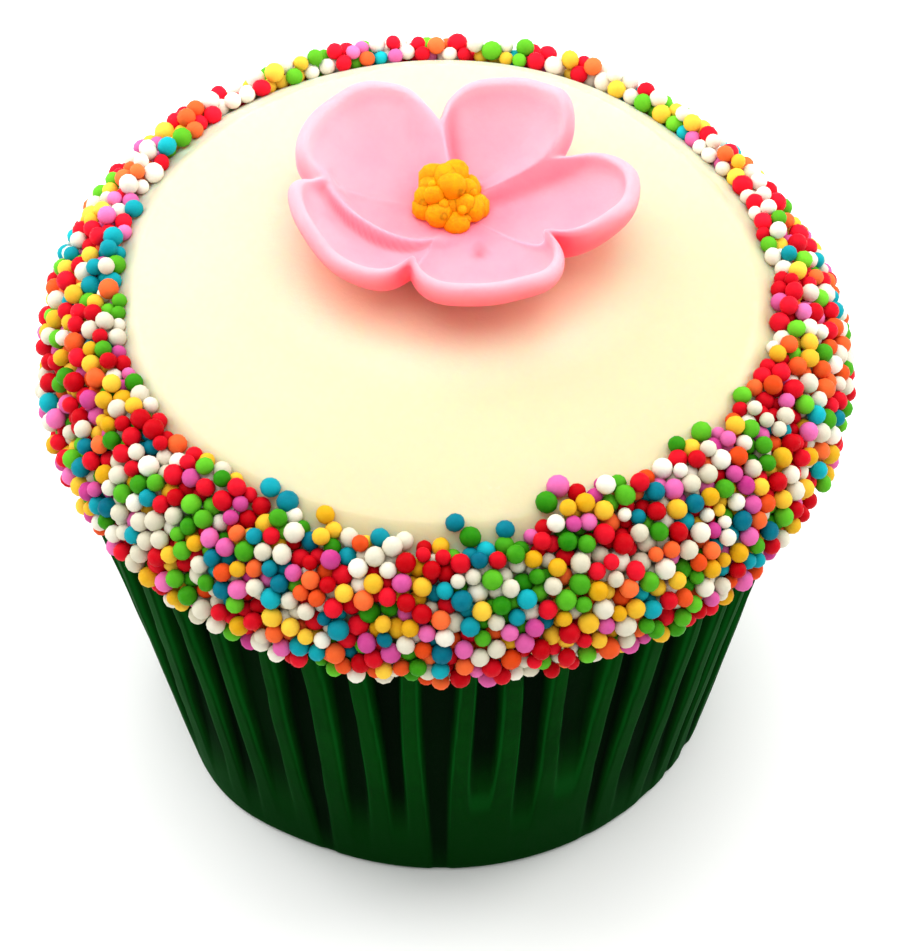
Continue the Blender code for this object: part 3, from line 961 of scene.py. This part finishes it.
def makeFlower():
    # one sheet with an upper side, a half round rim and a lower side; each row runs round
    # all the petals
    parts = [petalEdge(number) for number in range(len(flower["petals"]))]
    angle, reach, height, curl = (np.concatenate(part) for part in zip(*parts))
    theta = np.radians(angle)[None]
    curl = np.radians(curl)[None]
    share = np.linspace(0, 1, flower["rows"] + 1)[1:, None]
    # each petal's section is an arc: out = sin(share * curl), up = 1 - cos(share * curl),
    # both scaled so that the edge lands at its reach and height
    bend = share * curl
    distance = reach[None] * np.sin(bend) / np.sin(curl)
    run = reach[None] * np.cos(bend) / np.sin(curl)
    climb = height[None] * np.sin(bend) / (1 - np.cos(curl))
    length = np.hypot(run, climb)
    run, climb = run / length, climb / length
    lip = 1
    for ruffle in flower["ruffles"]:
        lip = lip + ruffle["height"] * np.sin(theta * ruffle["waves"] + ruffle["start"])
    rise = height[None] * lip * (1 - np.cos(bend)) / (1 - np.cos(curl))
    folds, creaseShade = ridges(distance, theta)
    rise = rise + folds * (1 - share**6)
    # the dimple is depth * exp(-(x / width)^2 - (y / length)^2)
    dimple = flower["dimple"]
    x, y = distance * np.cos(theta) - dimple["x"], distance * np.sin(theta) - dimple["y"]
    dent = np.exp(-((x / dimple["width"]) ** 2) - (y / dimple["length"]) ** 2)
    rise = rise - dimple["depth"] * dent

    def sheet(out, rise):
        # points at a distance from the flower's middle and a rise above its seat on the icing
        x = flower["x"] + out * np.cos(theta)
        y = flower["y"] + out * np.sin(theta)
        ground = crownHeight(x, y)
        z = np.maximum(ground + flower["seat"] + rise, ground + flower["lowest"])
        return rounded(np.stack([x, y, z], axis=-1))

    thick = flower["floorThickness"] + (flower["rimThickness"] - flower["floorThickness"]) * share
    top = sheet(distance, rise)
    under = sheet(distance + thick * climb, rise - thick * run)
    # the rim is a half round between the two sides
    middle = (top[-1] + under[-1]) / 2
    arm = (top[-1] - under[-1]) / 2
    outward = (top[-1] - top[-2]) + (under[-1] - under[-2])
    outward /= np.linalg.norm(outward, axis=-1)[:, None]
    outward = outward * np.linalg.norm(arm, axis=-1)[:, None]
    past = np.linspace(0, math.pi, flower["rimRows"] + 2)[1:-1, None, None]
    lips = middle + arm * np.cos(past) + outward * np.sin(past)
    grid = np.concatenate([top, lips, under[::-1]])
    # by row: how near the rim it lies, and how far on the lower side, where shade is painted
    rim = np.concatenate([share[:, 0], np.ones(len(lips)), share[::-1, 0]])
    turned = np.linspace(0, 0.4, len(lips))
    below = np.concatenate([np.zeros(len(share)), turned, 1 - 0.5 * share[::-1, 0] ** 12])
    # painted shade: the grooves beside the folds, the dimple and the walls of the notches are deeper
    # pink
    creaseShade = np.maximum(creaseShade * (1 - share**8), 0.5 * dent)
    notchShade = sum(bumpAt(angle, notch["heading"], 5) for notch in flower["notches"])
    depth = np.concatenate([np.linspace(0, 0.5, len(lips)), np.full(len(share), 0.9)])
    tones = {
        "rim": np.repeat(rim, len(angle)),
        "under": np.repeat(below, len(angle)),
        "creaseShade": np.vstack([creaseShade, depth[:, None] * notchShade]).ravel(),
    }
    ground = float(crownHeight(flower["x"], flower["y"]))
    upper = (flower["x"], flower["y"], ground + flower["seat"])
    lower = (flower["x"], flower["y"], ground + flower["lowest"])
    piece = skin("flower_petals", grid, flowerFinish(), upper, lower, tones)
    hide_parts("flower")


makeIcing()  # the painted pink light and paler ring in its colour follow the flower's place
makeFlower()
print("icing and petals made")

centre = {
    "radius": 2.6,
    "height": 3.1,
    "peak": (-0.9, 0.7),  # the heap leans to the back left
    "lumps": 20,
    "lumpSize": (0.9, 1.25),
    "grains": 22,
    "grainSize": (0.35, 0.55),
    "heart": (-0.2, 0.1, 0.7),  # place of one large lump inside that fills the heap
    "heartSize": 1.9,
    "lumpSpread": 0.86,  # the lumps' share of the heap's size
    "turn": 2.39996,  # from one lump to the next, in radians: the golden angle
    "scatter": 0.14,
    "seed": 31,
    "oranges": ((0.99, 0.27, 0.0), (1.0, 0.36, 0.0)),
}


def centreFinish():
    finish = Finish(
        "orangeSugar",
        Roughness=0.55,
        IOR=1.2,
        Subsurface_Weight=0.6,
        Subsurface_Radius=(1.0, 0.6, 0.1),
        Subsurface_Scale=1 * mm,
    )
    crumbs = finish.noise(1.1, 4.0, 0.6)
    finish.wear("Base Color", finish.mix(crumbs.step(0.3, 0.7), *centre["oranges"]))
    finish.wear("Roughness", 0.45 + 0.3 * finish.noise(2.0, 3.0))
    finish.bump(finish.noise(5.0, 4.0, 0.7), 0.08, 0.9)
    return finish


def heap(random, count, sizes, spread):
    # points round a leaning heap, each a golden angle on from the last:
    # climb = arcsin(share), radius = cos(climb)^0.8, height = sin(climb)
    share = (np.arange(count) + 0.5) / count
    azimuth = np.arange(count) * centre["turn"] + random.normal(0, 0.25, count)
    out = centre["radius"] * spread * (1 - share**2) ** 0.4
    x = out * np.cos(azimuth) + centre["peak"][0] * share
    y = out * np.sin(azimuth) + centre["peak"][1] * share
    spots = np.stack([x, y, centre["height"] * spread * share], axis=1)
    spots += random.normal(0, centre["scatter"], spots.shape)
    spots[:, 2] = np.maximum(spots[:, 2], 0.25)
    return spots, random.uniform(*sizes, count)


def makeCentre():
    # balls of three sizes, stretched at random, heaped on the flower's middle
    random = np.random.default_rng(centre["seed"])
    ball, ballFaces = ballShape()
    lumps = heap(random, centre["lumps"], centre["lumpSize"], centre["lumpSpread"])
    grains = heap(random, centre["grains"], centre["grainSize"], 1.0)
    heart = (np.array([centre["heart"]]), np.array([centre["heartSize"]]))
    spots, sizes = (np.concatenate(part) for part in zip(lumps, grains, heart))
    radii = sizes[:, None] * (1 + random.normal(0, 0.1, (len(sizes), 3)))
    seat = float(crownHeight(flower["x"], flower["y"])) + flower["seat"]
    spots = spots + np.array([flower["x"], flower["y"], seat])
    shape = ball[None] * radii[:, None, :] + spots[:, None, :]
    shape[..., 2] = np.maximum(shape[..., 2], seat + 0.02)
    faces = manyFaces(ballFaces, len(ball), len(sizes))
    piece = addPiece("flower_stamens", shape.reshape(-1, 3), faces, centreFinish())
    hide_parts("flower_centre")


makeCentre()
print("flower's centre made")

sponge = {"poreSize": 0.9, "crumbs": ((0.50, 0.25, 0.07), (0.72, 0.46, 0.18))}


def dressCake():
    finish = Finish("bakedSponge", Roughness=0.85)
    cells = {"Vector": finish.place(), "Scale": sponge["poreSize"]}
    holes = finish.node("ShaderNodeTexVoronoi", None, cells, "Distance")
    pores = finish.noise(0.7, 4.0, 0.6)
    finish.wear("Base Color", finish.mix(pores.step(0.35, 0.7), *sponge["crumbs"]))
    finish.bump(holes * 0.6 + pores, 0.35, 0.8)
    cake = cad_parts["cake"]
    cake.data.materials.clear()
    cake.data.materials.append(finish.material)


dressCake()
print("sponge dressed")
